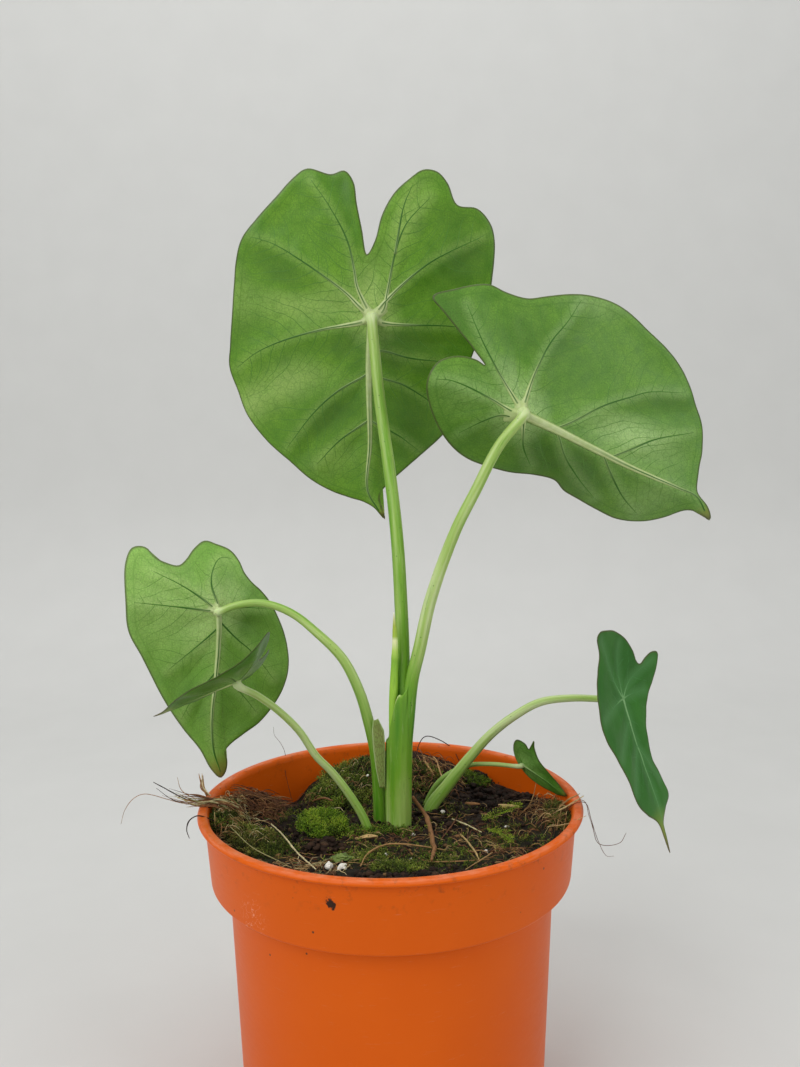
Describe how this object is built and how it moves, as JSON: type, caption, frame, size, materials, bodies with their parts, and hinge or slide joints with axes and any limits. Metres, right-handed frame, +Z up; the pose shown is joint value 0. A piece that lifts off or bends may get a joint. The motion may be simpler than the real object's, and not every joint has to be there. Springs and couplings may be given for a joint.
{
  "type": "potted arrow-leaf house plant",
  "caption": "Young arrow-leaved house plant on slender stalks, growing from mossy soil in a round plastic nursery pot with a deep banded rim.",
  "frame": {"origin": "centre of the pot's underside, so the plant stands on Z = 0", "axes": "+Z up through the pot's axis, -Y the side that the plant is usually seen from, +X to the right of that view"},
  "size_m": [0.1701, 0.105, 0.2709],
  "materials": {
    "pot_plastic": "satin",
    "growing_mix": "matte",
    "corm_skin": "matte",
    "leaf_blade": "satin",
    "leaf_stalk": "satin",
    "new_leaf": "satin",
    "papery_sheath": "matte",
    "bright_moss": "matte",
    "olive_moss": "matte",
    "dry_straw": "matte",
    "bark": "matte",
    "root_fibre": "matte",
    "perlite": "matte"
  },
  "bodies": {
    "root": {"pot": "pot_plastic", "potting_mix": "growing_mix", "corm": "corm_skin", "new_leaf_spear": "new_leaf", "leaf_3_papery_sheath": "papery_sheath", "bright_moss_cushion": "bright_moss", "wall_moss_cushion": "bright_moss", "feather_moss_sprig_1": "bright_moss", "feather_moss_sprig_2": "bright_moss", "olive_moss_mound": "olive_moss", "back_moss_mound": "olive_moss", "left_moss_carpet": "olive_moss", "front_moss_cushion": "olive_moss", "liverwort_lump": "olive_moss", "soil_clod": "growing_mix", "root_mat": "root_fibre", "rim_stub": "root_fibre", "dry_leaf_flake": "dry_straw", "straw_front_left": "dry_straw", "straw_right_1": "dry_straw", "straw_right_2": "dry_straw", "straw_right_3": "dry_straw", "rim_straw_1": "dry_straw", "rim_straw_2": "dry_straw", "tan_root_loop": "dry_straw", "brown_surface_root": "bark", "rim_twig": "bark", "perlite_grain_1": "perlite", "perlite_grain_2": "perlite", "perlite_grain_3": "perlite", "perlite_grain_4": "perlite", "leaf_1_blade": "leaf_blade", "leaf_2_blade": "leaf_blade", "leaf_3_blade": "leaf_blade", "leaf_4_blade": "leaf_blade", "leaf_5_blade": "leaf_blade", "leaf_6_blade": "leaf_blade", "leaf_1_stalk": "leaf_stalk", "leaf_2_stalk": "leaf_stalk", "leaf_3_stalk": "leaf_stalk", "leaf_4_stalk": "leaf_stalk", "leaf_5_stalk": "leaf_stalk", "leaf_6_stalk": "leaf_stalk"}
  },
  "joints": []
}
